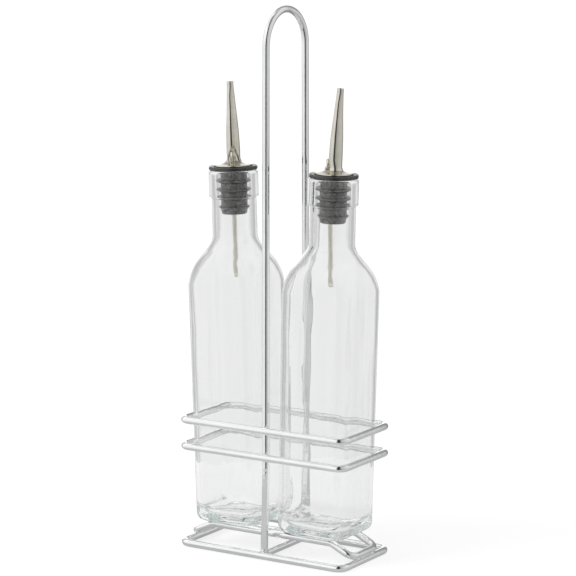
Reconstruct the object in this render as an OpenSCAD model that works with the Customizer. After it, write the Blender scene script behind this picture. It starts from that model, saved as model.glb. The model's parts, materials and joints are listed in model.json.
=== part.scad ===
// Two-bottle cruet set: a welded wire rack with a tall carrying loop, two square glass
// bottles and two rubber-stoppered metal pourers.
// Millimetres, +Z up, +X along the row of bottles. The origin is on the table, under the
// middle of the rack.

/* [Rack] */
// Diameter of the wire
wire_d = 5; // [4:0.1:5.2]
// Length of the base loop and the two rings, between wire centres
rack_l = 129.5; // [129:0.5:134]
// Width of the base loop and the two rings, between wire centres
rack_w = 60.6; // [60.6:0.2:66]
// Bend radius of the loops' corners
corner_r = 6.5; // [5:0.5:10]
// Height of the lower ring's centre
lower_ring_z = 71; // [55:1:80]
// Height of the upper ring's centre
upper_ring_z = 89.5; // [86:0.5:110]
// Overall height, to the top of the carrying loop
rack_h = 374; // [360:1:420]
// Depth that crossing wires sink into each other where they are welded
weld_sink = 0.5; // [0.1:0.1:0.6]
// Distance that each leg of the carrying loop comes in on its way up
leg_taper = 1.4; // [0.4:0.1:3]
// Sideways shift of the carrying loop above its feet, towards the right bottle
loop_shift = 1.5; // [0:0.1:2]

/* [Bottle rest] */
// Width of the raised loop under the bottles, between wire centres
rest_w = 32; // [24:1:40]
// Length of the raised runs that carry the bottles
rest_run_l = 96; // [90:1:100]
// Height of the raised runs' centre
rest_z = 15; // [13:0.5:18]

/* [Bottle] */
// Height of the bottle
bottle_h = 243; // [235:1:250]
// Width across the flats under the shoulder
body_w = 53.2; // [50:0.1:53.4]
// Width across the flats at the bottom
foot_w = 52; // [49:0.1:52.2]
// Radius of the body's vertical corners
body_r = 10; // [7:0.5:12]
// Radius round the bottom edge
heel_r = 5.5; // [3:0.5:6]
// Height where the shoulder starts
shoulder_z = 165.5; // [155:0.5:170]
// Height where the shoulder runs into the neck
neck_z = 198.5; // [194:0.5:202]
// Outer diameter of the neck
neck_d = 31; // [29.4:0.2:31.6]
// Outer diameter of the mouth band
mouth_d = 34.2; // [32:0.2:34.8]
// Height of the mouth band
mouth_h = 18.3; // [12:0.1:22]
// Diameter of the mouth bore
bore_d = 24.2; // [24.1:0.1:25]
// Thickness of the glass wall
glass_t = 2.6; // [2:0.1:3]
// Thickness of the glass bottom
bottom_t = 5; // [4:0.5:9]
// Outward lean of the left bottle, towards the end of the rings, in degrees
left_lean = 1.75; // [0:0.05:1.8]
// Outward lean of the right bottle, in degrees
right_lean = 1.45; // [0:0.05:1.8]
// Room between the left bottle and the end of the upper ring
left_room = 0.3; // [0.3:0.1:1.5]
// Room between the right bottle and the end of the upper ring
right_room = 1.1; // [0.3:0.1:1.5]

/* [Stopper] */
// Diameter of the stopper's brim
brim_d = 33.4; // [32:0.2:34]
// Thickness of the brim
brim_t = 2.7; // [2:0.1:3.5]
// Length of the stopper inside the neck
plug_l = 30; // [26:1:32]
// Diameter of the stopper's core at the brim
core_d = 18.5; // [17:0.5:19]
// Diameter of the top fin, which seals in the bore
fin_d = 23.9; // [22:0.1:24]
// Diameter of the bottom fin
low_fin_d = 20.6; // [20:0.1:22]

/* [Pourer] */
// Outer diameter of the domed cap
cap_d = 27; // [24:0.5:29]
// Height of the cap's dome
cap_h = 2.6; // [2:0.1:3.5]
// Length of the spout above the cap
spout_l = 54; // [45:1:60]
// Outer diameter of the spout at its foot
spout_foot_d = 9.2; // [8:0.1:10]
// Outer diameter of the spout at its tip
spout_tip_d = 4.6; // [4.2:0.1:5]
// Lean of the spout, in degrees
spout_lean = 2.5; // [0:0.5:5]
// Outer diameter of the stem that goes through the stopper
stem_d = 10.4; // [10:0.1:10.8]
// Outer diameter of the vent tube
vent_d = 3; // [2.6:0.1:3]
// Depth of the vent tube's lower end below the mouth of the bottle
vent_drop = 73.5; // [60:0.5:90]
// Direction in which the left spout leans, in degrees round the bottle from +X
left_turn = 150; // [0:5:360]
// Direction in which the right spout leans, in degrees round the bottle from +X
right_turn = 45; // [0:5:360]
// Turn of the vent from the side opposite the spout's lean, in degrees
vent_turn = -27; // [-40:1:40]

/* [Hidden] */
LEFT = -1;
RIGHT = 1;
wire_r = wire_d / 2;
full_fn = 96;

// Rack
leg_y = rack_w / 2 - wire_d + weld_sink;
leg_foot_r = 2.6;
leg_foot_x = 0.4;
leg_knees_z = [lower_ring_z - 8, upper_ring_z + 8];
leg_ring_y = leg_y - 0.3;
rest_end_x = rack_l / 2 - 0.5;
rest_end_z = 3 * wire_r - 0.3;
rest_corner_r = 6;
rest_knee_r = 8;
bend_steps = 6;
round_top_steps = 18;
wire_sides = 20;

// Bottle: it stands on the raised runs, and leans until it is near the rings' end runs
rest_gap = 0.1;
ring_h = upper_ring_z - rest_z - wire_r;
ring_half_w = (foot_w + (body_w - foot_w) * ring_h / shoulder_z) / 2;
bore_r = bore_d / 2;
dome_end = 0.72;
dome_steps = 5;
neck_steps = 5;

// Stopper
plug_gap = 0.05;
core_r = core_d / 2;
tip_core_r = core_r - 0.7;
stem_clear = 0.05;
fin_depths = [7.5, 13.5, 19, 25.5];
fin_t = 2.2;

// Pourer, measured from the mouth of the bottle
cap_z = brim_t + plug_gap + 0.05;
sheet_t = 0.8;
cap_rim_h = 0.9;
stem_r = stem_d / 2;
stem_wall = 0.6;
spout_z = cap_z + cap_rim_h + cap_h - 0.4;
spout_off = [0.6, -0.9];
spout_wall = 0.5;
spout_land = 4;
spout_levels = [0, 22, 43];
spout_drops = [0, 0.5, 1.95];
collar_h = 2.4;
vent_knee_z = cap_z;
vent_knee_off = -3;
vent_top_z = spout_z + 6.5;
vent_top_off = -4;
vent_wall = 0.5;
knee_swell = 0.05;

// ---- wires -----------------------------------------------------------------------------

function unit(v) = v / norm(v);
function pick(list, i) = list[(i + len(list)) % len(list)];

// Length that a bend of radius r takes off each run at corner b
function bend_cut(a, b, c, r) = r / tan(acos(unit(a - b) * unit(c - b)) / 2);

module run(a, b, r) {
    along = b - a;
    turn = atan2(along[1], along[0]);
    tilt = acos(along[2] / norm(along));
    translate(a) rotate([0, tilt, turn]) cylinder(h = norm(along), r = r, $fn = full_fn);
}

module bend(a, b, c, r) {
    back = unit(a - b);
    ahead = unit(c - b);
    corner = acos(back * ahead);
    centre = b + unit(back + ahead) * r / sin(corner / 2);
    out = unit(b + back * r / tan(corner / 2) - centre);
    axis = cross(out, -back);
    multmatrix([
        [out[0], -back[0], axis[0], centre[0]],
        [out[1], -back[1], axis[1], centre[1]],
        [out[2], -back[2], axis[2], centre[2]],
        [0, 0, 0, 1]
    ])
        rotate_extrude(angle = 180 - corner, $fn = full_fn)
            translate([r, 0]) circle(r = wire_r, $fn = full_fn);
}

// A closed loop of wire in one plane through the corners, each with its own bend radius
module wire_loop(corners, radii) {
    for (i = [0 : len(corners) - 1]) {
        a = pick(corners, i - 1);
        b = corners[i];
        c = pick(corners, i + 1);
        d = pick(corners, i + 2);
        from = b + unit(c - b) * bend_cut(a, b, c, radii[i]);
        to = c - unit(c - b) * bend_cut(b, c, d, pick(radii, i + 1));
        bend(a, b, c, radii[i]);
        if ((to - from) * unit(c - b) > 0.01)
            run(from, to, wire_r);
    }
}

// Points round the bend at corner b, or the corner itself when it has no bend
function bend_points(a, b, c, r, steps) = r == 0 ? [b] :
    let (
        back = unit(a - b),
        ahead = unit(c - b),
        corner = acos(back * ahead),
        centre = b + unit(back + ahead) * r / sin(corner / 2),
        out = unit(b + back * r / tan(corner / 2) - centre)
    )
    [for (i = [0 : steps]) let (turn = (180 - corner) * i / steps)
        centre + r * (out * cos(turn) - back * sin(turn))];

// A closed loop of wire, as a ring of points at each point of its route, which is nowhere
// parallel to the across direction
module bent_loop(corners, radii, steps, across) {
    route = [for (i = [0 : len(corners) - 1])
        each bend_points(
            pick(corners, i - 1), corners[i], pick(corners, i + 1), radii[i], steps[i])];
    count = len(route);
    points = [
        for (i = [0 : count - 1])
            let (
                here = route[i],
                along = unit(unit(pick(route, i + 1) - here) + unit(here - pick(route, i - 1))),
                side = unit(cross(along, across)),
                up = cross(side, along)
            )
            for (k = [0 : wire_sides - 1]) let (a = 360 * k / wire_sides)
                here + wire_r * (side * cos(a) + up * sin(a))
    ];
    faces = [
        for (i = [0 : count - 1], k = [0 : wire_sides - 1])
            let (next = (i + 1) % count, m = (k + 1) % wire_sides)
            [i * wire_sides + k, i * wire_sides + m, next * wire_sides + m, next * wire_sides + k]
    ];
    polyhedron(points, faces, convexity = 6);
}

module flat_loop(z) {
    x = rack_l / 2;
    y = rack_w / 2;
    wire_loop([[-x, -y, z], [x, -y, z], [x, y, z], [-x, y, z]], [for (i = [1 : 4]) corner_r]);
}

module base_frame() {
    color("silver") flat_loop(wire_r);
}

module lower_ring() {
    color("silver") flat_loop(lower_ring_z);
}

module upper_ring() {
    color("silver") flat_loop(upper_ring_z);
}

// The raised loop that the bottles stand on, with its ends welded on the base loop
module bottle_rest() {
    x = rest_run_l / 2;
    y = rest_w / 2;
    corners = [
        [-x, -y, rest_z], [x, -y, rest_z], [rest_end_x, -y, rest_end_z],
        [rest_end_x, y, rest_end_z], [x, y, rest_z], [-x, y, rest_z],
        [-rest_end_x, y, rest_end_z], [-rest_end_x, -y, rest_end_z]
    ];
    k = rest_knee_r;
    c = rest_corner_r;
    steps = [for (i = [1 : 8]) bend_steps];
    color("silver") bent_loop(corners, [k, k, c, c, k, k, c, c], steps, [0, 0, 1]);
}

// The carrying loop: a cross bar at the table, two legs, which lean a little up to the rings,
// stand upright inside them and taper above them, and a round top
module handle_loop() {
    top = rack_h - wire_r;
    top_y = leg_y - leg_taper;
    front = [
        [leg_foot_x, -leg_y, wire_r], [loop_shift, -leg_ring_y, leg_knees_z[0]],
        [loop_shift, -leg_ring_y, leg_knees_z[1]], [loop_shift, -top_y, top]
    ];
    back = [for (i = [3 : -1 : 0]) [front[i][0], -front[i][1], front[i][2]]];
    f = bend_steps;
    t = round_top_steps;
    round_r = top_y - 0.1;
    radii = [leg_foot_r, 0, 0, round_r, round_r, 0, 0, leg_foot_r];
    color("silver") bent_loop(concat(front, back), radii, [f, 1, 1, t, t, 1, 1, f], [1, 0, 0]);
}

// ---- bottles ---------------------------------------------------------------------------

function lean(side) = side == LEFT ? left_lean : right_lean;
function room(side) = side == LEFT ? left_room : right_room;

// Distance of a bottle's foot from the middle of the rack
function foot_x(side) = rack_l / 2 - wire_r - room(side) - ring_half_w - ring_h * tan(lean(side));

// Height of the middle of a bottle's foot, which clears the ends of the raised runs
function foot_z(side) =
    rest_z + wire_r + rest_gap + (rest_run_l / 2 - foot_x(side)) * tan(lean(side));

// Puts a bottle's own frame, with its origin under the bottle, in the rack
module stand(side) {
    translate([side * foot_x(side), 0, foot_z(side)]) rotate([0, side * lean(side), 0]) children();
}

// Half width of the shoulder at the part t of its height
function shoulder_half(t) = neck_d / 2 + (body_w - neck_d) / 2 * pow(1 - pow(t, 3), 2);
function shoulder_level(t) = shoulder_z + (neck_z - shoulder_z) * t;

// Corner radius of the shoulder, which turns from square to round
function shoulder_corner(t) =
    body_r + (shoulder_half(t) - body_r) * min(1, 1.25 * pow(t, 1.15));

module square_slice(half, r, z) {
    flat = 2 * (half - r);
    translate([0, 0, z]) linear_extrude(0.01) hull()
        for (x = [-1, 1], y = [-1, 1])
            translate([x * flat / 2, y * flat / 2]) circle(r = r, $fn = 32);
}

module rounded_slice(half, r, z) {
    flat = half - r;
    translate([0, 0, z]) linear_extrude(0.01) union() {
        for (x = [-1, 1], y = [-1, 1])
            translate([x * flat, y * flat]) circle(r = r, $fn = 32);
        square([2 * half, 2 * flat + 0.001], center = true);
        square([2 * flat + 0.001, 2 * half], center = true);
    }
}

// The square body up to the hollow of the shoulder, shrunk by inset on every side
module body_blank(inset, floor_z) {
    foot_half = foot_w / 2 - inset;
    side_r = body_r - inset;
    edge = heel_r - inset / 2;
    hull() {
        for (a = [0 : 30 : 90]) {
            pull = edge * (1 - sin(a));
            rounded_slice(foot_half - pull, max(side_r - pull, 2), floor_z + edge * (1 - cos(a)));
        }
        for (i = [0 : dome_steps]) {
            t = dome_end * i / dome_steps;
            rounded_slice(shoulder_half(t) - inset, shoulder_corner(t) - inset, shoulder_level(t));
        }
    }
}

// The round flare from the shoulder to the neck and the bore above it
module throat(inset, low_r, top_r, top_z) {
    flare = [
        for (i = [0 : neck_steps])
            let (t = dome_end + (1 - dome_end) * i / neck_steps)
                [max(shoulder_half(t) - inset, low_r), shoulder_level(t) - (i == 0 ? 0.01 : 0)]
    ];
    rotate_extrude($fn = full_fn)
        polygon(concat([[0, flare[0][1]]], flare, [[top_r, neck_z], [top_r, top_z], [0, top_z]]));
}

module bottle() {
    band_z = bottle_h - mouth_h;
    difference() {
        union() {
            body_blank(0, 0);
            throat(0, 0, neck_d / 2, band_z + 1);
            translate([0, 0, band_z]) cylinder(h = mouth_h, d = mouth_d, $fn = full_fn);
        }
        body_blank(glass_t, bottom_t);
        throat(neck_d / 2 - bore_r, bore_r, bore_r, bottle_h - 5);
        translate([0, 0, neck_z]) cylinder(h = bottle_h - neck_z + 1, r = bore_r, $fn = full_fn);
    }
}

module left_bottle() {
    color("honeydew", 0.4) stand(LEFT) bottle();
}

module right_bottle() {
    color("honeydew", 0.4) stand(RIGHT) bottle();
}

// ---- stoppers --------------------------------------------------------------------------

// Puts a pourer's frame, with its origin in the plane of the mouth, on a bottle
module on_mouth(side) {
    stand(side) translate([0, 0, bottle_h]) children();
}

module stopper() {
    difference() {
        union() {
            translate([0, 0, plug_gap]) cylinder(h = brim_t, d = brim_d, $fn = full_fn);
            translate([0, 0, -plug_l])
                cylinder(h = plug_l + 1, r1 = tip_core_r, r2 = core_r, $fn = full_fn);
            for (i = [0 : len(fin_depths) - 1]) {
                edge_d = i < 2 ? fin_d : fin_d + (low_fin_d - fin_d) * (i - 1) / 2;
                translate([0, 0, -fin_depths[i]]) fin(edge_d / 2);
            }
        }
        translate([0, 0, -plug_l - 1])
            cylinder(h = plug_l + brim_t + 3, r = stem_r + stem_clear, $fn = full_fn);
    }
}

// One sealing fin: a flat top and a coned underside
module fin(edge_r) {
    rotate_extrude($fn = full_fn)
        polygon([
            [stem_r + 0.5, fin_t / 2], [edge_r, fin_t / 2], [edge_r, fin_t / 2 - 0.6],
            [core_r - 1, -fin_t / 2 - 0.6], [stem_r + 0.5, -fin_t / 2 - 0.6]
        ]);
}

module left_stopper() {
    color("dimgray") on_mouth(LEFT) stopper();
}

module right_stopper() {
    color("dimgray") on_mouth(RIGHT) stopper();
}

// ---- pourers ---------------------------------------------------------------------------

// The domed cap: a sheet disc with a short rim and a hole for the stem
module cap() {
    cap_r = cap_d / 2;
    hole_r = stem_r - 0.2;
    dome_r = (cap_r * cap_r + cap_h * cap_h) / (2 * cap_h);
    drop = dome_r - cap_h;
    reach = asin(cap_r / dome_r);
    inner = asin(hole_r / dome_r);
    outside = [for (i = [0 : 8]) let (a = reach + (inner - reach) * i / 8)
        [dome_r * sin(a), cap_rim_h + dome_r * cos(a) - drop]];
    translate([0, 0, cap_z]) rotate_extrude($fn = full_fn)
        polygon(concat(
            [[hole_r, cap_h + cap_rim_h - 3 * sheet_t], [cap_r - sheet_t, 0], [cap_r, 0]], outside));
}

module stem() {
    top = spout_z - 0.2;
    difference() {
        translate([0, 0, -plug_l - 0.5])
            cylinder(h = top + plug_l + 0.5, r = stem_r, $fn = full_fn);
        translate([0, 0, -plug_l - 1.5])
            cylinder(h = top + plug_l + 2.5, r = stem_r - stem_wall, $fn = full_fn);
    }
}

// Puts the spout's frame on its foot
module spout_axis() {
    translate([spout_off[0], spout_off[1], spout_z]) rotate([0, spout_lean, 0]) children();
}

// A spout that tapers faster towards its tip, with a short straight land at the tip
module spout() {
    foot_r = spout_foot_d / 2;
    tip_r = spout_tip_d / 2;
    cone_l = spout_l - spout_land;
    outside = concat(
        [for (i = [0 : 2]) [foot_r - spout_drops[i], spout_levels[i]]],
        [[tip_r, cone_l], [tip_r, spout_l]]);
    inside = [for (i = [4 : -1 : 1]) [outside[i][0] - spout_wall, outside[i][1]]];
    spout_axis() rotate_extrude($fn = full_fn) polygon(concat(
        [[foot_r - spout_wall, -0.6], [foot_r + 1, -0.6], [foot_r, collar_h - 0.6]],
        [for (i = [1 : 4]) outside[i]],
        inside));
}

// The vent tube: it rises beside the spout's foot and hangs down through the stem
module vent_tube() {
    low = [0, 0, -vent_drop];
    knee = [vent_knee_off, 0, vent_knee_z];
    top = [vent_top_off, 0, vent_top_z];
    r = vent_d / 2;
    rotate([0, 0, vent_turn]) difference() {
        union() {
            run(low, knee, r);
            translate(knee) sphere(r = r + knee_swell, $fn = full_fn);
            run(knee, top, r);
        }
        run(low - unit(knee - low), knee, r - vent_wall);
        translate(knee) sphere(r = r - vent_wall + knee_swell, $fn = full_fn);
        run(knee, top + unit(top - knee), r - vent_wall);
    }
}

module turned(side) {
    on_mouth(side) rotate([0, 0, side == LEFT ? left_turn : right_turn]) children();
}

module left_cap() {
    color("lightgray") turned(LEFT) cap();
}

module left_stem() {
    color("lightgray") turned(LEFT) stem();
}

module left_spout() {
    color("lightgray") turned(LEFT) spout();
}

module left_vent_tube() {
    color("lightgray") turned(LEFT) vent_tube();
}

module right_cap() {
    color("lightgray") turned(RIGHT) cap();
}

module right_stem() {
    color("lightgray") turned(RIGHT) stem();
}

module right_spout() {
    color("lightgray") turned(RIGHT) spout();
}

module right_vent_tube() {
    color("lightgray") turned(RIGHT) vent_tube();
}

base_frame();
bottle_rest();
lower_ring();
upper_ring();
handle_loop();
left_bottle();
left_stopper();
left_cap();
left_stem();
left_spout();
left_vent_tube();
right_bottle();
right_stopper();
right_cap();
right_stem();
right_spout();
right_vent_tube();
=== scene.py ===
"""A two-bottle cruet set: a bright chromed wire rack, two square glass bottles and two metal
pourers in rubber stoppers. Sizes are in millimetres, and MM turns them into Blender's metres.
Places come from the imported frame: the boxes of its nodes and the joints that turn its pourers."""

import json
import math

import bpy
from mathutils import Matrix, Vector, noise


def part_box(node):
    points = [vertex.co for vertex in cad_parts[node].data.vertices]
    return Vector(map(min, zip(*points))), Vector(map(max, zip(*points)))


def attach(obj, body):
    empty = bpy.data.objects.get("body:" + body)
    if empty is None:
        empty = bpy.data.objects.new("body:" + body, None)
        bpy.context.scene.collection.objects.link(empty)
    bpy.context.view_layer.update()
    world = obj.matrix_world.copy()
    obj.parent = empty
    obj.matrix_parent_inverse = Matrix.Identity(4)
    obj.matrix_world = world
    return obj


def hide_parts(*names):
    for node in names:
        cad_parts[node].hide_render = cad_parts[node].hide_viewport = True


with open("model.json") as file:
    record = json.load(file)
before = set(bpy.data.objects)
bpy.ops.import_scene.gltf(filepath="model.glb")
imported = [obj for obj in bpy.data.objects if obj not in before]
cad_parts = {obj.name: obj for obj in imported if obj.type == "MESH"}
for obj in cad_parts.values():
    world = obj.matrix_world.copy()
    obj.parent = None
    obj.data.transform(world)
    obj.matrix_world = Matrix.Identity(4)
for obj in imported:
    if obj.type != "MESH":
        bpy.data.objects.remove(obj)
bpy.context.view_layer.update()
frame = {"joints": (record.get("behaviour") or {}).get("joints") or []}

MM = 0.001
SIDES = ("left", "right")
JOINTS = {joint["name"]: joint for joint in frame["joints"]}


# ---- mesh helpers ----------------------------------------------------------------------------


def add_mesh(name, points, faces, material, body, slot, nodes=(), place=None):
    """A smooth piece from points in millimetres that rides on a body and replaces CAD nodes."""
    mesh = bpy.data.meshes.new(name)
    mesh.from_pydata([Vector(p) * MM for p in points], [], faces)
    mesh.validate()
    mesh.update()
    mesh.polygons.foreach_set("use_smooth", [True] * len(mesh.polygons))
    mesh.materials.append(material)
    piece = bpy.data.objects.new(name, mesh)
    bpy.context.scene.collection.objects.link(piece)
    if place is not None:
        piece.matrix_world = place
    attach(piece, body)
    if nodes:
        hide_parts(*nodes)
    return piece


def join_shapes(*shapes):
    """Several (points, faces) shapes as one."""
    points, faces = [], []
    for shape_points, shape_faces in shapes:
        start = len(points)
        points += shape_points
        faces += [[start + i for i in face] for face in shape_faces]
    return points, faces


def bridge_rings(rings, closed_along=False):
    """Quads between neighbouring rings that all have the same number of points."""
    count = len(rings[0])
    points = [p for ring in rings for p in ring]
    faces = []
    last = len(rings) if closed_along else len(rings) - 1
    for i in range(last):
        j = (i + 1) % len(rings)
        for k in range(count):
            m = (k + 1) % count
            faces.append([i * count + k, i * count + m, j * count + m, j * count + k])
    return points, faces


def arc_corner(a, b, c, radius, steps):
    """Points round a bend of the given radius at corner b."""
    back, ahead = (a - b).normalized(), (c - b).normalized()
    corner = back.angle(ahead)
    if radius <= 0 or corner > math.pi - 1e-4:
        return [b]
    centre = b + (back + ahead).normalized() * radius / math.sin(corner / 2)
    out = (b + back * radius / math.tan(corner / 2) - centre).normalized()
    turns = [(math.pi - corner) * i / steps for i in range(steps + 1)]
    return [centre + radius * (out * math.cos(t) - back * math.sin(t)) for t in turns]


def rounded_route(corners, radii, steps, closed=True):
    """A route through corners with a round bend at each one."""
    count = len(corners)
    route = []
    for i, corner in enumerate(corners):
        if not closed and i in (0, count - 1):
            route.append(corner)
            continue
        before, after = corners[i - 1], corners[(i + 1) % count]
        route += arc_corner(before, corner, after, radii[i], steps)
    return route


def spread(route, step, closed):
    """The same route with extra points, so that no stretch is longer than step."""
    points = []
    count = len(route)
    for i in range(count if closed else count - 1):
        here, there = route[i], route[(i + 1) % count]
        parts = max(1, math.ceil((there - here).length / step))
        points += [here.lerp(there, k / parts) for k in range(parts)]
    return points if closed else points + [route[-1]]


def tube(route, radius, sides, wall=None):
    """A closed loop of round wire or, with a wall, an open-ended pipe along a route."""
    count = len(route)
    closed = wall is None
    frames = []
    side = None
    for i, here in enumerate(route):
        before = route[i - 1] if closed or i else here - (route[1] - here)
        after = route[(i + 1) % count] if closed or i < count - 1 else here + (here - route[-2])
        along = ((after - here).normalized() + (here - before).normalized()).normalized()
        if side is None:
            side = along.orthogonal().normalized()
        side = (side - along * side.dot(along)).normalized()
        frames.append((here, side, along.cross(side)))

    turns = [2 * math.pi * k / sides for k in range(sides)]

    def rings(r):
        return [
            [here + r * (side * math.cos(t) + up * math.sin(t)) for t in turns]
            for here, side, up in frames
        ]

    if closed:
        return bridge_untwisted(rings(radius), sides)
    return bridge_rings(rings(radius) + rings(radius - wall)[::-1], closed_along=True)


def bridge_untwisted(rings, sides):
    """Closes a loop of rings, matching the last ring's points to the nearest of the first's."""
    points, faces = bridge_rings(rings)
    start = min(range(sides), key=lambda k: (rings[-1][0] - rings[0][k]).length)
    end = (len(rings) - 1) * sides
    for k in range(sides):
        m = (k + 1) % sides
        faces.append([end + k, end + m, (m + start) % sides, (k + start) % sides])
    return points, faces


def round_profile(corners, steps=5):
    """An outline (radius, height, fillet) with its corners rounded: points for lathe()."""
    outline = []
    count = len(corners)
    for i, (x, z, fillet) in enumerate(corners):
        here = Vector((x, z, 0))
        if fillet <= 0 or i in (0, count - 1):
            outline.append((x, z))
            continue
        before, after = Vector((*corners[i - 1][:2], 0)), Vector((*corners[i + 1][:2], 0))
        outline += [(p.x, p.y) for p in arc_corner(before, here, after, fillet, steps)]
    return outline


def lathe(outline, segments=96):
    """A closed outline, points of (radius, height), turned round the Z axis."""
    rings = []
    for r, z in outline:
        turns = [2 * math.pi * k / segments for k in range(segments)]
        rings.append([Vector((r * math.cos(t), r * math.sin(t), z)) for t in turns])
    return bridge_rings(rings, closed_along=True)


def blob(centre, along, across, size):
    """A small drop-shaped bead, such as a weld or a spot of solder."""
    a = along.normalized()
    b = (across - a * across.dot(a)).normalized()
    c = a.cross(b)
    rows, turns = 8, 16
    points = [centre - a * size[0]]
    for i in range(1, rows):
        lat = math.pi * i / rows
        for k in range(turns):
            lon = 2 * math.pi * k / turns
            points.append(
                centre
                - a * size[0] * math.cos(lat)
                + b * size[1] * math.sin(lat) * math.cos(lon)
                + c * size[2] * math.sin(lat) * math.sin(lon)
            )
    points.append(centre + a * size[0])
    faces = []
    for k in range(turns):
        m = (k + 1) % turns
        faces.append([0, 1 + m, 1 + k])
        for i in range(rows - 2):
            low = 1 + i * turns
            faces.append([low + k, low + m, low + turns + m, low + turns + k])
        low = 1 + (rows - 2) * turns
        faces.append([low + k, low + m, len(points) - 1])
    return points, faces


# ---- materials -------------------------------------------------------------------------------


class Shader:
    """A principled material under construction. Its bumps are in Blender's metres."""

    def __init__(self, name, **values):
        self.material = bpy.data.materials.new(name)
        self.material.use_nodes = True
        self.tree = self.material.node_tree
        self.main = self.tree.nodes["Principled BSDF"]
        for socket, value in values.items():
            self.main.inputs[socket.replace("_", " ")].default_value = value

    def node(self, kind, **values):
        made = self.tree.nodes.new(kind)
        for key, value in values.items():
            if hasattr(made, key):
                setattr(made, key, value)
            else:
                made.inputs[key.replace("_", " ")].default_value = value
        return made

    def link(self, source, target):
        self.tree.links.new(source, target)

    def place(self, scale=(1, 1, 1)):
        """Object coordinates, stretched."""
        coordinates = self.node("ShaderNodeTexCoord")
        mapping = self.node("ShaderNodeMapping")
        mapping.inputs["Scale"].default_value = scale
        self.link(coordinates.outputs["Object"], mapping.inputs["Vector"])
        return mapping.outputs["Vector"]

    def noise(self, scale, detail=3.0, roughness=0.5, stretch=(1, 1, 1)):
        made = self.node("ShaderNodeTexNoise", Scale=scale, Detail=detail, Roughness=roughness)
        self.link(self.place(stretch), made.inputs["Vector"])
        return made.outputs["Fac"]

    def between(self, value, low, high):
        """A 0 to 1 value turned into low to high."""
        made = self.node("ShaderNodeMapRange", To_Min=low, To_Max=high)
        self.link(value, made.inputs["Value"])
        return made.outputs["Result"]

    def ramp(self, value, stops):
        made = self.node("ShaderNodeValToRGB")
        elements = made.color_ramp.elements
        elements[0].position, elements[0].color = stops[0]
        elements[1].position, elements[1].color = stops[-1]
        for position, colour in stops[1:-1]:
            elements.new(position).color = colour
        self.link(value, made.inputs["Fac"])
        return made.outputs["Color"]

    def bump(self, height, distance, strength=1.0, below=None):
        made = self.node("ShaderNodeBump", Distance=distance, Strength=strength)
        self.link(height, made.inputs["Height"])
        if below is not None:
            self.link(below, made.inputs["Normal"])
        return made.outputs["Normal"]

    def set(self, socket, source):
        self.link(source, self.main.inputs[socket])


def chrome_material():
    """Bright plated wire: faint drawing lines, hazy patches and a slightly uneven plate."""
    shader = Shader("chrome_wire", Metallic=1.0, Roughness=0.08)
    tone = shader.ramp(
        shader.noise(60.0, 4.0), [(0.3, (0.88, 0.885, 0.89, 1)), (0.7, (0.95, 0.955, 0.96, 1))]
    )
    shader.set("Base Color", tone)
    haze = shader.noise(35.0, 5.0, 0.65)
    shader.set("Roughness", shader.between(haze, 0.02, 0.09))
    ripple = shader.bump(shader.noise(220.0, 2.0), 0.00012)
    shader.set("Normal", shader.bump(shader.noise(1800.0, 2.0), 0.00001, 0.6, ripple))
    return shader.material


def glass_material():
    """Pressed clear glass: soft waviness, a faint green where the glass is thick."""
    shader = Shader("bottle_glass", Roughness=0.0, IOR=1.5)
    shader.main.inputs["Transmission Weight"].default_value = 1.0
    shader.main.inputs["Base Color"].default_value = (0.950, 0.951, 0.952, 1)
    film = shader.noise(25.0, 3.0)
    shader.set("Roughness", shader.between(film, 0.0, 0.03))
    waves = shader.bump(shader.noise(60.0, 2.0, 0.45, (1, 1, 0.16)), 0.0014, 0.5)
    shader.set("Normal", shader.bump(shader.noise(140.0, 2.0), 0.00005, 0.5, waves))
    tint = shader.node("ShaderNodeVolumeAbsorption", Density=0.7)
    tint.inputs["Color"].default_value = (0.62, 0.84, 0.78, 1)
    shader.link(tint.outputs["Volume"], shader.tree.nodes["Material Output"].inputs["Volume"])
    return shader.material


def rubber_material():
    """Moulded dark rubber with a fine grain: a dark brim with a random mottle, and a plug painted
    paler in patches, a painted light for the light that the glass throws on it.
    """
    shader = Shader("stopper_rubber", Roughness=0.4)
    shader.main.inputs["Specular IOR Level"].default_value = 0.8
    tone_and_painted_light_noise = shader.noise(420.0, 5.0, 0.65)
    brim = shader.ramp(tone_and_painted_light_noise, [(0.3, (0.012, 0.012, 0.012, 1)), (0.75, (0.034, 0.034, 0.031, 1))])
    # Painted light: below the mouth the rubber is painted paler in patches, standing in for light
    # that comes in through the glass.
    plug = shader.ramp(tone_and_painted_light_noise, [(0.4, (0.036, 0.036, 0.033, 1)), (0.6, (0.185, 0.185, 0.176, 1))])
    level = shader.node("ShaderNodeSeparateXYZ")
    shader.link(shader.place(), level.inputs["Vector"])
    # Mask by height: the plug's painted light below the mouth, the brim's own dark tone above it.
    depth = shader.node("ShaderNodeMapRange", From_Min=-0.0012, From_Max=-0.0002)
    shader.link(level.outputs["Z"], depth.inputs["Value"])
    tone = shader.node("ShaderNodeMixRGB")
    shader.link(depth.outputs["Result"], tone.inputs[0])
    shader.link(plug, tone.inputs[1])
    shader.link(brim, tone.inputs[2])
    shader.set("Base Color", tone.outputs[0])
    shader.set("Roughness", shader.between(shader.noise(90.0, 4.0), 0.20, 0.36))
    grain = shader.bump(shader.noise(2600.0, 3.0, 0.6), 0.00004, 0.7)
    shader.set("Normal", grain)
    return shader.material


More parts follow.
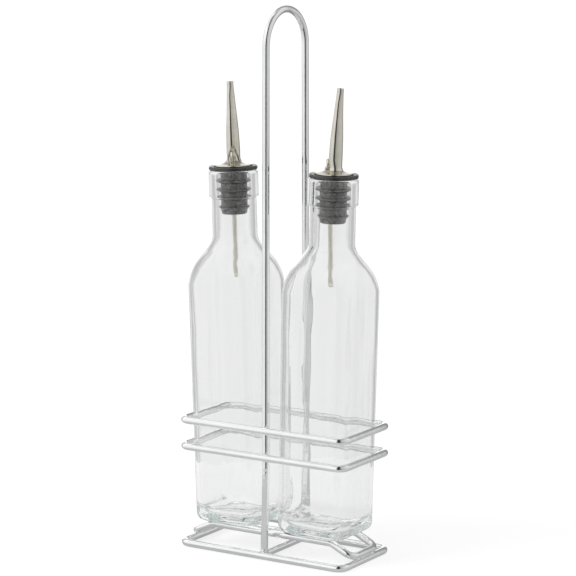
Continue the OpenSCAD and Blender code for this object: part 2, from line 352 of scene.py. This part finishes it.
def pourer_material():
    """Warm nickel plate, drawn lengthwise and a little dulled by handling."""
    shader = Shader("pourer_metal", Metallic=1.0, Roughness=0.15)
    patches = shader.noise(90.0, 4.0, 0.55)
    tone = shader.ramp(patches, [(0.3, (0.66, 0.63, 0.55, 1)), (0.75, (0.79, 0.76, 0.685, 1))])
    shader.set("Base Color", tone)
    shader.set("Roughness", shader.between(shader.noise(160.0, 5.0, 0.6), 0.06, 0.17))
    drawn = shader.bump(shader.noise(500.0, 1.0, 0.5, (1, 1, 0.02)), 0.000006, 0.35)
    shader.set("Normal", shader.bump(shader.noise(55.0, 1.0), 0.00012, 0.6, drawn))
    return shader.material


CHROME = chrome_material()
GLASS = glass_material()
RUBBER = rubber_material()
NICKEL = pourer_material()


# ---- rack ------------------------------------------------------------------------------------

WIRE_SIDES = 28
BEND_STEPS = 14
LONGEST_STRETCH = 12.0
CORNER_R = 6.5  # of the base loop and the rings
LOOPS = ("base_frame", "lower_ring", "upper_ring")


def node_box(name):
    """A node's lowest and highest corners in millimetres."""
    low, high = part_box(name)
    return low / MM, high / MM


base_low, base_high = node_box("base_frame")
rest_low, rest_high = node_box("bottle_rest")
loop_low, loop_high = node_box("handle_loop")
# To the middle of the wire: half the base loop's length and width, and the carrying loop's legs.
wire_r = (base_high.z - base_low.z) / 2
half_l = base_high.x - wire_r
half_w = base_high.y - wire_r
leg_y = loop_high.y - wire_r


def wire(name, corners, radii):
    """A closed loop of wire that takes the place of its CAD node."""
    bent = rounded_route([Vector(c) for c in corners], radii, BEND_STEPS)
    shape = tube(spread(bent, LONGEST_STRETCH, True), wire_r, WIRE_SIDES)
    return add_mesh(name + "_wire", *shape, CHROME, "rack", "rack_wire", [name])


def flat_loop(name):
    """The base loop or a ring: a flat rectangle of wire with round corners."""
    low, high = node_box(name)
    x, y, z = half_l, half_w, (low.z + high.z) / 2
    return wire(name, [(-x, -y, z), (x, -y, z), (x, y, z), (-x, y, z)], [CORNER_R] * 4)


def bottle_rest():
    """The raised loop under the bottles, with its ends on the base loop."""
    knee_x = 48.0
    x, y, z = knee_x, rest_high.y - wire_r, rest_high.z - wire_r
    end_x, end_z = rest_high.x - wire_r, rest_low.z + wire_r
    corners = [
        (-x, -y, z), (x, -y, z), (end_x, -y, end_z), (end_x, y, end_z),
        (x, y, z), (-x, y, z), (-end_x, y, end_z), (-end_x, -y, end_z),
    ]
    knee, corner = 8.0, 6.0
    return wire("bottle_rest", corners, [knee, knee, corner, corner] * 2)


def carrying_loop():
    """Two legs that lean up to the rings, stand inside them and taper above, and a round top."""
    foot_x, shift = 0.4, loop_high.x - wire_r
    ring_y, top_y = leg_y - 0.3, leg_y - 1.4
    front = [
        (foot_x, -leg_y, loop_low.z + wire_r), (shift, -ring_y, 63.0), (shift, -ring_y, 97.5),
        (shift, -top_y, loop_high.z - wire_r),
    ]
    back = [(x, -y, z) for x, y, z in reversed(front)]
    foot_bend, low_knee, high_knee, round_top = 2.6, 600, 900, top_y - 0.1
    bends = [foot_bend, low_knee, high_knee, round_top]
    return wire("handle_loop", front + back, bends + bends[::-1])


def weld_beads():
    """Small beads where the legs meet the loops and where the rest meets the base."""
    leg_bead, rest_bead = (2.3, 1.1, 1.3), (2.8, 2.0, 0.9)
    leg_x, rest_y, rest_out = 1.6, 9, 0.3
    upright, along_x, along_y = Vector((0, 0, 1)), Vector((1, 0, 0)), Vector((0, 1, 0))
    beads = []
    for name in LOOPS:
        low, high = node_box(name)
        z = (low.z + high.z) / 2
        for end in (-1, 1):
            y = end * (half_w + leg_y) / 2
            for x in (-leg_x, leg_x):
                beads.append(blob(Vector((x, y, z)), upright, along_x, leg_bead))
    for x in (-1, 1):
        for y in (-rest_y, rest_y):
            centre = Vector((x * (rest_high.x - wire_r + rest_out), y, base_high.z))
            beads.append(blob(centre, along_y, along_x, rest_bead))
    return add_mesh("weld_beads", *join_shapes(*beads), CHROME, "rack", "rack_wire")


for loop in LOOPS:
    flat_loop(loop)
bottle_rest()
carrying_loop()
weld_beads()


# ---- bottles ---------------------------------------------------------------------------------

BOTTLE_H = 243.0
FOOT_HALF = 26.0  # half the body's width above the heel
BODY_HALF = 26.6  # and under the shoulder
BODY_R = 10.0
HEEL_R = 5.5
SHOULDER_Z = 165.5  # where the shoulder begins and where the neck begins
NECK_Z = 198.5
NECK_R = 15.5
BAND_Z = 224.7  # the lower edge of the band round the mouth
MOUTH_R = 17.1
BORE_R = 12.1
GLASS_T = 2.6
FLOOR_Z = 5.0
LIP_Z = BOTTLE_H - 4  # where the lip's outline ends inside the bore
ROUND_POINTS = 96
BODY_STEPS = 34
SHOULDER_STEPS = 22
SEEDS = {"left": 3.0, "right": 17.0}  # so that the two bottles' glass differs
INNER_SEED = 9.0  # added to a bottle's own seed for its inside


def mouth_place(side):
    """The frame of a bottle's mouth: +Z along the leaning bottle, origin in the mouth's plane."""
    joint = JOINTS[side + "_spout_turn"]
    up = Vector(joint["axis"]).normalized()
    right = Vector((0, 1, 0)).cross(up).normalized()
    turn = Matrix((right, Vector((0, 1, 0)), up)).transposed().to_4x4()
    return Matrix.Translation(Vector(joint["pos_m"])) @ turn


def square_reach(angle, half, corner):
    """Distance from the axis to the side of a square with rounded corners."""
    c, s = abs(math.cos(angle)), abs(math.sin(angle))
    flat = half - corner
    reach = half / max(c, s)
    if reach * min(c, s) <= flat:
        return reach
    middle = (c + s) * flat
    return middle + math.sqrt(max(0.0, middle * middle - 2 * flat * flat + corner * corner))


def slice_ring(half, corner, z, sink=0.0, ripple=0.0, seed=0.0):
    """One level of the bottle. Sink hollows the flats, ripple makes the wall uneven."""
    ripple_round, ripple_h = 1.3, 30.0
    ring = []
    for k in range(ROUND_POINTS):
        a = 2 * math.pi * k / ROUND_POINTS
        reach = square_reach(a, half, corner)
        reach -= sink * max(0.0, math.cos(4 * a)) ** 1.5
        if ripple:
            round_x, round_y = math.cos(a) * ripple_round, math.sin(a) * ripple_round
            reach += ripple * noise.noise(Vector((round_x, round_y, z / ripple_h + seed)))
        ring.append(Vector((reach * math.cos(a), reach * math.sin(a), z)))
    return ring


def shoulder(part):
    """Half width and corner radius at a part of the shoulder's height."""
    half = NECK_R + (BODY_HALF - NECK_R) * (1 - part**3) ** 2
    return half, BODY_R + (half - BODY_R) * min(1.0, 1.25 * part**1.15)


def outer_rings(seed):
    """The outside from the hollow underside up to the neck."""
    rings = []
    hollow, hollow_edge, heel_steps = 3.2, 0.93, 6
    sink, ripple = 0.28, 0.10
    for part in (0.04, 0.2, 0.4, 0.6, 0.75, 0.86, hollow_edge):
        half = (FOOT_HALF - HEEL_R + 1.0) * part
        lift = hollow * (1 - (part / hollow_edge) ** 2.5)
        rings.append(slice_ring(half, min(half, 3 + 7 * part), lift))
    for i in range(heel_steps + 1):
        a = math.pi / 2 * i / heel_steps
        pull = HEEL_R * (1 - math.sin(a))
        rings.append(slice_ring(FOOT_HALF - pull, BODY_R - pull * 0.6, HEEL_R * (1 - math.cos(a))))
    for i in range(1, BODY_STEPS + 1):
        part = i / BODY_STEPS
        z = HEEL_R + (SHOULDER_Z - HEEL_R) * part
        half = FOOT_HALF + (BODY_HALF - FOOT_HALF) * part
        edge = min(1.0, 6 * part, 6 * (1 - part) + 0.05)
        rings.append(slice_ring(half, BODY_R, z, sink * edge, ripple * edge, seed))
    for i in range(1, SHOULDER_STEPS + 1):
        part = i / SHOULDER_STEPS
        half, corner = shoulder(part)
        rings.append(slice_ring(half, corner, SHOULDER_Z + (NECK_Z - SHOULDER_Z) * part))
    return rings


def finish_rings():
    """The neck, the mouth band and the rounded lip, down to the bore."""
    longest = 4.0
    corners = [
        (NECK_R, NECK_Z + 2, 0), (NECK_R, BAND_Z - 0.5, 0.9), (MOUTH_R, BAND_Z + 0.5, 1.0),
        (MOUTH_R, BOTTLE_H, 1.6), (BORE_R, BOTTLE_H, 1.2), (BORE_R, LIP_Z, 0),
    ]
    outline = round_profile(corners, 5)
    full = []
    for (r0, z0), (r1, z1) in zip(outline, outline[1:]):
        parts = max(1, math.ceil(math.hypot(r1 - r0, z1 - z0) / longest))
        full += [(r0 + (r1 - r0) * i / parts, z0 + (z1 - z0) * i / parts) for i in range(parts)]
    full.append(outline[-1])
    return [slice_ring(r, r, z) for r, z in full]


def inner_rings(seed):
    """The inside of the bottle from the bore down to the middle of its floor."""
    rings = []
    seed += INNER_SEED
    flare_top, low_edge = NECK_Z - 1, 9.0
    bore_steps, edge_steps = 8, 8
    bore_ripple, shoulder_ripple, body_ripple, edge_ripple = 0.12, 0.15, 0.34, 0.2
    body_sink, floor_dome = 0.15, 1.6
    for i in range(1, bore_steps + 1):
        z = LIP_Z - (LIP_Z - flare_top) * i / bore_steps
        rings.append(slice_ring(BORE_R, BORE_R, z, 0, bore_ripple, seed))
    for i in range(SHOULDER_STEPS - 1, -1, -1):
        part = i / SHOULDER_STEPS
        half, corner = shoulder(part)
        half = max(half - (GLASS_T + 0.4 * part), BORE_R)
        corner = min(half, corner - GLASS_T * (1 - part))
        z = SHOULDER_Z + (flare_top - SHOULDER_Z) * part
        rings.append(slice_ring(half, corner, z, 0, shoulder_ripple, seed))
    for i in range(BODY_STEPS - 1, -1, -1):
        part = i / BODY_STEPS
        z = FLOOR_Z + low_edge + (SHOULDER_Z - FLOOR_Z - low_edge) * part
        half = FOOT_HALF + (BODY_HALF - FOOT_HALF) * part - GLASS_T
        rings.append(slice_ring(half, BODY_R - GLASS_T, z, body_sink, body_ripple, seed))
    for i in range(1, edge_steps + 1):
        a = math.pi / 2 * i / edge_steps
        pull = low_edge * (1 - math.cos(a))
        half, corner = FOOT_HALF - GLASS_T - pull, BODY_R - GLASS_T + 0.25 * pull
        z = FLOOR_Z + low_edge * (1 - math.sin(a))
        rings.append(slice_ring(half, corner, z, 0, edge_ripple, seed))
    floor_half = FOOT_HALF - GLASS_T - low_edge
    for part in (0.8, 0.55, 0.3, 0.08):
        half = floor_half * part
        lift = floor_dome * (1 - part * part)
        rings.append(slice_ring(half, min(half, 9.6 * part + 0.2), FLOOR_Z + lift))
    return rings


def bottle(side):
    """One closed skin of glass: up the outside, over the lip and down the inside."""
    seed = SEEDS[side]
    rings = outer_rings(seed) + finish_rings() + inner_rings(seed)
    points, faces = bridge_rings(rings)
    last = (len(rings) - 1) * ROUND_POINTS
    points += [sum(rings[0], Vector()) / ROUND_POINTS, sum(rings[-1], Vector()) / ROUND_POINTS]
    middle = len(points) - 2
    for k in range(ROUND_POINTS):
        m = (k + 1) % ROUND_POINTS
        faces += [[middle, m, k], [middle + 1, last + k, last + m]]
    place = mouth_place(side) @ Matrix.Translation((0, 0, -BOTTLE_H * MM))
    name = side + "_bottle"
    return add_mesh(name + "_glass", points, faces, GLASS, name, "bottle_glass", [name], place)


# ---- stoppers --------------------------------------------------------------------------------


def stopper(side):
    """A rubber plug with a brim on the mouth, four fins in the bore and a hole for the stem."""
    gap, brim_r, brim_t, plug_l = 0.05, 16.7, 2.7, 30.0
    core_r, tip_r, hole_r = 9.25, 8.55, 5.25
    root_r, fins = core_r - 0.2, ((7.5, 11.97), (13.5, 11.97), (19.0, 11.2), (25.5, 10.35))
    fin_top, fin_edge, fin_foot = 1.1, 0.2, -1.5
    outline = [
        (hole_r, brim_t + gap, 0), (brim_r, brim_t + gap, 1.2), (brim_r, gap, 1.0),
        (core_r + 1.2, gap, 0), (core_r, -1.0, 0.8),
    ]
    for depth, edge_r in fins:
        outline += [
            (root_r, fin_top - depth, 0.5), (edge_r, fin_top - depth, 0.25),
            (edge_r, fin_edge - depth, 0.3), (root_r, fin_foot - depth, 0.5),
        ]
    outline += [(tip_r, -plug_l, 0.9), (hole_r, -plug_l, 0)]
    shape = lathe(round_profile(outline, 4))
    name = side + "_stopper"
    return add_mesh(
        name + "_rubber", *shape, RUBBER, name, "stopper_rubber", [name], mouth_place(side)
    )


# ---- pourers ---------------------------------------------------------------------------------

# A pourer leans its spout towards its own +X, and its vent tube stands on the other side, turned
# a little. Heights are above the bottle's mouth.
TURNS = {"left": math.radians(150), "right": math.radians(45)}
CAP_Z = 2.8
SPOUT_Z = 5.9
SPOUT_L = 54.0
SPOUT_OFF = (0.6, -0.9)  # from the stem's axis to the middle of the spout's foot
SPOUT_LEAN = math.radians(2.5)
SQUEEZE = 0.15  # how far out of round the spout is, as a part of its radius
WIDEST = {"left": math.radians(107), "right": math.radians(32)}  # and which way it is widest
VENT_TURN = math.radians(-27)
VENT_OFF = 4.0  # from the stem's axis to the vent tube's top
CRIMP_TOP_Z = 17.3


def pourer_place(side):
    return mouth_place(side) @ Matrix.Rotation(TURNS[side], 4, "Z")


def vent_place(side):
    """As pourer_place, with the vent tube towards -X."""
    return pourer_place(side) @ Matrix.Rotation(VENT_TURN, 4, "Z")


def pourer_piece(side, name, shape, nodes=(), place=None):
    return add_mesh(
        side + name, *shape, NICKEL, side + "_pourer", "pourer_metal",
        [side + node for node in nodes], place or pourer_place(side),
    )


def cap(side):
    """The shallow disc on the stopper, with a rolled rim and a steep collar at the spout."""
    cap_r, rise, collar, rim, hole_r, sheet = 13.5, 1.2, 1.0, 0.9, 5.0, 0.7

    def level(r, drop=0.0):
        part = (cap_r - r) / (cap_r - hole_r)
        return CAP_Z + rim - drop + rise * part + collar * part**5

    top = [(r, level(r)) for r in (12.6, 11.0, 9.5, 8.0, 6.8, 5.8, hole_r)]
    under = [(r, level(r, sheet)) for r in (hole_r, 7.0, 9.5, 11.8)]
    rolled = [
        (cap_r - sheet, CAP_Z + 0.1), (cap_r - 0.4, CAP_Z), (cap_r - 0.1, CAP_Z + 0.15),
        (cap_r, CAP_Z + 0.45), (cap_r - 0.1, CAP_Z + 0.75), (cap_r - 0.35, CAP_Z + 1.0),
    ]
    return pourer_piece(side, "_cap_dome", lathe(rolled + top + under), ["_cap"])


def stem(side):
    """The plain tube that turns in the rubber and holds the spout."""
    outer, wall, low, high, edge = 5.2, 0.6, -30.5, SPOUT_Z - 0.2, 0.25
    corners = [
        (outer, high, 0), (outer, low, edge), (outer - wall, low, edge), (outer - wall, high, 0),
    ]
    return pourer_piece(side, "_stem_tube", lathe(round_profile(corners, 3), 64), ["_stem"])


def spout_radius(part):
    """The swaged tube: a flared foot, nearly straight, a tapered waist, a narrow tip."""
    stops = [
        (0.0, 5.5), (0.012, 5.3), (0.03, 4.85), (0.05, 4.62), (0.1, 4.5), (0.25, 4.34), (0.4, 4.07),
        (0.55, 3.55), (0.68, 3.04), (0.8, 2.65), (0.9, 2.41), (0.94, 2.3), (1.0, 2.3),
    ]
    for (a, low), (b, high) in zip(stops, stops[1:]):
        if part <= b:
            return low + (high - low) * (part - a) / (b - a)
    return stops[-1][1]


def crimp(angle, z):
    """Depth of the pointed hollow pressed into the spout's foot, where the vent tube stands."""
    deepest, edge, fade_h = 1.15, math.radians(13), 2.5
    half_width, point_h = math.radians(54), 7.9
    width = half_width * min(1.1, (CRIMP_TOP_Z - z) / point_h)
    if width <= 0:
        return 0.0
    off = abs((angle + math.pi) % (2 * math.pi) - math.pi)
    inside = min(1.0, max(0.0, (width - off) / edge))
    return deepest * inside * inside * (3 - 2 * inside) * min(1.0, (CRIMP_TOP_Z - z) / fade_h)


def squeeze(angle, part, widest):
    """How wide the rolled tube is at an angle, against a round one: 1 at its foot and its tip."""
    above_foot = min(1.0, max(0.0, (part - 0.03) / 0.1))
    below_tip = min(1.0, max(0.0, (0.94 - part) / 0.12))
    return 1 + SQUEEZE * above_foot * below_tip * math.cos(2 * (angle - widest))


def spout(side):
    """The bent, tapered tube, as rings round its axis, outside and then inside."""
    sunk, bow, wall, sides = 0.6, 0.28, 0.5, 96
    lean = Vector((math.sin(SPOUT_LEAN), 0, math.cos(SPOUT_LEAN)))
    foot = Vector((*SPOUT_OFF, SPOUT_Z)) - sunk * lean
    tip = foot + (SPOUT_L + sunk) * lean
    across, beside = Vector((lean.z, 0, -lean.x)), Vector((0, 1, 0))
    vent = math.pi + VENT_TURN
    crimped, low_steps, high_steps = 0.25, 60, 40
    steps = [i / low_steps * crimped for i in range(low_steps)]
    steps += [crimped + (1 - crimped) * i / high_steps for i in range(high_steps + 1)]
    outer, inner = [], []
    for part in steps:
        here = foot.lerp(tip, part)
        here.x -= bow * 4 * part * (1 - part)
        rows = [], []
        for k in range(sides):
            turn = 2 * math.pi * k / sides
            out = across * math.cos(turn) + beside * math.sin(turn)
            r = spout_radius(part) * squeeze(turn, part, WIDEST[side]) - crimp(turn - vent, here.z)
            rows[0].append(here + out * r)
            rows[1].append(here + out * (r - wall))
        outer.append(rows[0])
        inner.append(rows[1])
    shape = bridge_rings(outer + inner[::-1], closed_along=True)
    return pourer_piece(side, "_spout_tube", shape, ["_spout"])


def vent_tube(side):
    """The thin air pipe from the hollow in the spout's foot down into the bottle."""
    low_z, high_z, outer, wall, bend = -73.5, SPOUT_Z + 6.5, 1.5, 0.5, 30
    corners = [Vector((0, 0, low_z)), Vector((-3, 0, CAP_Z)), Vector((-VENT_OFF, 0, high_z))]
    route = spread(rounded_route(corners, [0, bend, 0], 6, closed=False), 3.0, False)
    shape = tube(route, outer, 24, wall)
    return pourer_piece(side, "_vent_pipe", shape, ["_vent_tube"], vent_place(side))


def solder(side):
    """Lumps of solder between the vent tube, the spout's foot and the cap."""
    lumps = (  # x, y, height above the spout's foot, size
        (-4.5, 1.9, 1.2, 1.0), (-4.4, -1.9, 1.0, 1.05), (-5.6, 0.5, 0.2, 0.8),
        (-5.3, -1.2, 0.3, 0.9), (-5.2, 1.6, 0.1, 0.9), (-4.3, 1.6, 3.1, 0.7),
        (-4.2, -1.7, 3.0, 0.75), (-5.0, 3.2, 0.0, 0.8), (-4.9, -3.3, 0.0, 0.8),
    )
    beads = []
    for x, y, z, size in lumps:
        upwards, sizes = Vector((0.2 * y, 0.3, 1)), (1.25 * size, 0.8 * size, 0.7 * size)
        beads.append(blob(Vector((x, y, SPOUT_Z + z)), upwards, Vector((1, 0, 0)), sizes))
    return pourer_piece(side, "_solder", join_shapes(*beads), place=vent_place(side))


for side in SIDES:
    for make in (bottle, stopper, cap, stem, spout, vent_tube, solder):
        make(side)


# ---- stage, light and camera -----------------------------------------------------------------

# The floor is in millimetres. The lights and the camera are in metres.


def floor():
    """A round pale floor with a little light of its own, so that only contact shadows show."""
    reach, rings, turns, drop = 260.0, 6, 96, 0.2
    glow, glow_mirrored, glow_through_glass, glow_seen = 0.60, 0.30, 0.70, 0.78
    points = [Vector((0, 0, 0))]
    for i in range(1, rings + 1):
        r = reach * i / rings
        for k in range(turns):
            a = 2 * math.pi * k / turns
            points.append(Vector((r * math.cos(a), r * math.sin(a), 0)))
    faces = [[0, 1 + k, 1 + (k + 1) % turns] for k in range(turns)]
    for i in range(rings - 1):
        low = 1 + i * turns
        for k in range(turns):
            m = (k + 1) % turns
            faces.append([low + k, low + turns + k, low + turns + m, low + m])
    mesh = bpy.data.meshes.new("floor")
    mesh.from_pydata([p * MM for p in points], [], faces)
    shader = Shader("pale_floor", Roughness=0.9)
    shader.main.inputs["Base Color"].default_value = (0.28, 0.28, 0.28, 1)
    shader.main.inputs["Specular IOR Level"].default_value = 0.0
    shader.main.inputs["Emission Color"].default_value = (1, 1, 1, 1)
    path = shader.node("ShaderNodeLightPath")
    strength = shader.between(path.outputs["Is Glossy Ray"], glow, glow_mirrored)
    choices = (("Is Transmission Ray", glow_through_glass), ("Is Camera Ray", glow_seen))
    for kind, value in choices:
        chosen = shader.node("ShaderNodeMix", data_type="FLOAT")
        shader.link(path.outputs[kind], chosen.inputs[0])
        shader.link(strength, chosen.inputs[2])
        chosen.inputs[3].default_value = value
        strength = chosen.outputs[0]
    shader.set("Emission Strength", strength)
    mesh.materials.append(shader.material)
    made = bpy.data.objects.new("floor", mesh)
    made.location.z = -drop * MM
    bpy.context.scene.collection.objects.link(made)


# The room that metal mirrors is the product of three lists of (place, brightness). AROUND goes by
# degrees round the set, from the camera towards the picture's left, with a dark stand at the
# camera. UPWARD goes by the sine of the elevation. BACKDROP goes by the cosine of the angle from
# the camera's heading, and puts a dark frame round a bright backdrop. The glass looks through into
# a second, paler room: THROUGH goes by the same cosine, under a bright ceiling and on a pale floor.
AROUND = [
    (-180, 0.95), (-140, 0.84), (-106, 0.76), (-67, 0.70), (-35, 0.56), (-18, 0.40), (-11, 0.05),
    (12, 0.05), (23, 0.98), (60, 1.0), (105, 1.0), (125, 1.5), (145, 1.9), (160, 1.8),
    (172, 0.95), (180, 0.95),
]
UPWARD = [
    (-1.0, 0.5), (-0.78, 0.55), (-0.46, 0.75), (-0.04, 0.9), (0.37, 1.0), (0.7, 1.08),
    (0.84, 0.72), (1.0, 0.55),
]
BACKDROP = [
    (-1.0, 1.0), (0.38, 1.0), (0.55, 0.50), (0.70, 0.33), (0.87, 0.32), (0.94, 0.9),
    (0.98, 1.45), (1.0, 1.65),
]
THROUGH = [
    (-1.0, 0.6), (-0.6, 0.7), (-0.2, 0.95), (0.2, 1.0), (0.42, 0.9), (0.6, 0.55), (0.86, 0.5),
    (0.94, 0.75), (0.97, 0.93), (1.0, 0.93),
]
CEILING, CEILING_EDGE = (1.35, 1.35, 1.35, 1), (0.62, 0.80)
PALE_FLOOR, FLOOR_EDGE = (0.93, 0.93, 0.93, 1), (-0.22, -0.38)
SEEN, SEEN_STRENGTH = (1, 1, 1, 1), 1.05
HEADING = math.radians(90 + 32.3)  # of the camera, turned from +X


def studio_world():
    """White behind the object, while glass and metal each see their own room."""
    world = bpy.data.worlds.new("studio")
    bpy.context.scene.world = world
    world.use_nodes = True
    nodes, links = world.node_tree.nodes, world.node_tree.links
    nodes.clear()

    def add(kind, *inputs, **values):
        made = nodes.new(kind)
        for key, value in values.items():
            setattr(made, key, value)
        for i, value in enumerate(inputs):
            if isinstance(value, bpy.types.NodeSocket):
                links.new(value, made.inputs[i])
            else:
                made.inputs[i].default_value = value
        return made

    def ramp(value, stops, low=-1.0, high=1.0):
        span = add("ShaderNodeMapRange", value, low, high)
        made = add("ShaderNodeValToRGB", span.outputs[0])
        elements = made.color_ramp.elements
        placed = [((x - low) / (high - low), level) for x, level in stops]
        for element, (x, level) in zip((elements[0], elements[1]), (placed[0], placed[-1])):
            element.position, element.color = x, (level, level, level, 1)
        for x, level in placed[1:-1]:
            elements.new(x).color = (level, level, level, 1)
        return made.outputs["Color"]

    def mixed(factor, a, b, blend="MIX"):
        return add("ShaderNodeMixRGB", factor, a, b, blend_type=blend).outputs[0]

    def along(way):
        made = add("ShaderNodeVectorMath", direction, way, operation="DOT_PRODUCT")
        return made.outputs["Value"]

    def arithmetic(operation, *values):
        return add("ShaderNodeMath", *values, operation=operation).outputs[0]

    direction = add("ShaderNodeTexCoord").outputs["Generated"]
    height = add("ShaderNodeSeparateXYZ", direction).outputs["Z"]
    ahead = along((math.cos(HEADING), math.sin(HEADING), 0))
    left = along((-math.sin(HEADING), math.cos(HEADING), 0))
    beside = arithmetic("ARCTAN2", left, arithmetic("MULTIPLY", ahead, -1.0))
    degrees = arithmetic("MULTIPLY", beside, 180 / math.pi)
    around = ramp(degrees, AROUND, -180.0, 180.0)
    screened = mixed(1.0, ramp(ahead, BACKDROP), around, "MULTIPLY")
    mirrored = mixed(1.0, screened, ramp(height, UPWARD), "MULTIPLY")

    above = add("ShaderNodeMapRange", height, *CEILING_EDGE).outputs[0]
    below = add("ShaderNodeMapRange", height, *FLOOR_EDGE).outputs[0]
    through = mixed(above, mixed(below, ramp(ahead, THROUGH), PALE_FLOOR), CEILING)

    # A ray refracted by glass counts as glossy too, so only the transmission flag tells them apart.
    light = add("ShaderNodeLightPath")
    walls = mixed(light.outputs["Is Transmission Ray"], mirrored, through)
    room = add("ShaderNodeBackground", walls).outputs[0]
    white = add("ShaderNodeBackground", SEEN, SEEN_STRENGTH).outputs[0]
    mix = add("ShaderNodeMixShader", light.outputs["Is Camera Ray"], room, white)
    add("ShaderNodeOutputWorld", mix.outputs[0])


def area_light(name, place, target, size, power):
    """A soft light that mirrors and glass don't show: they see the painted room instead."""
    light = bpy.data.lights.new(name, "AREA")
    light.shape = "RECTANGLE"
    light.size, light.size_y = size
    light.energy = power
    made = bpy.data.objects.new(name, light)
    made.location = place
    made.rotation_euler = (Vector(target) - Vector(place)).to_track_quat("-Z", "Y").to_euler()
    made.visible_camera = made.visible_glossy = made.visible_transmission = False
    bpy.context.scene.collection.objects.link(made)


def camera():
    """A long lens in front of the set, to its right and a little above it."""
    azimuth, distance, height = math.radians(32.385), 1.7636, 0.4952
    yaw, pitch = math.radians(-0.0886), math.radians(10.046)
    data = bpy.data.cameras.new("camera")
    data.sensor_width, data.lens = 36.0, 165.07
    data.clip_start, data.clip_end = 0.05, 20.0
    made = bpy.data.objects.new("camera", data)
    made.location = (math.sin(azimuth) * distance, -math.cos(azimuth) * distance, height)
    made.rotation_euler = (math.pi / 2 - pitch, 0, azimuth + yaw)
    bpy.context.scene.collection.objects.link(made)
    bpy.context.scene.camera = made


MIDDLE = (0, 0, 0.15)
BOUNCES = 200  # enough to leave the hollow glass

floor()
studio_world()
area_light("key", (-0.9, -1.1, 1.3), MIDDLE, (0.9, 0.9), 14)
area_light("fill", (1.5, 0.3, 0.9), MIDDLE, (0.6, 1.0), 8)
camera()
bpy.context.scene.view_settings.view_transform = "Standard"
paths = bpy.context.scene.cycles
paths.max_bounces = paths.transmission_bounces = paths.glossy_bounces = BOUNCES

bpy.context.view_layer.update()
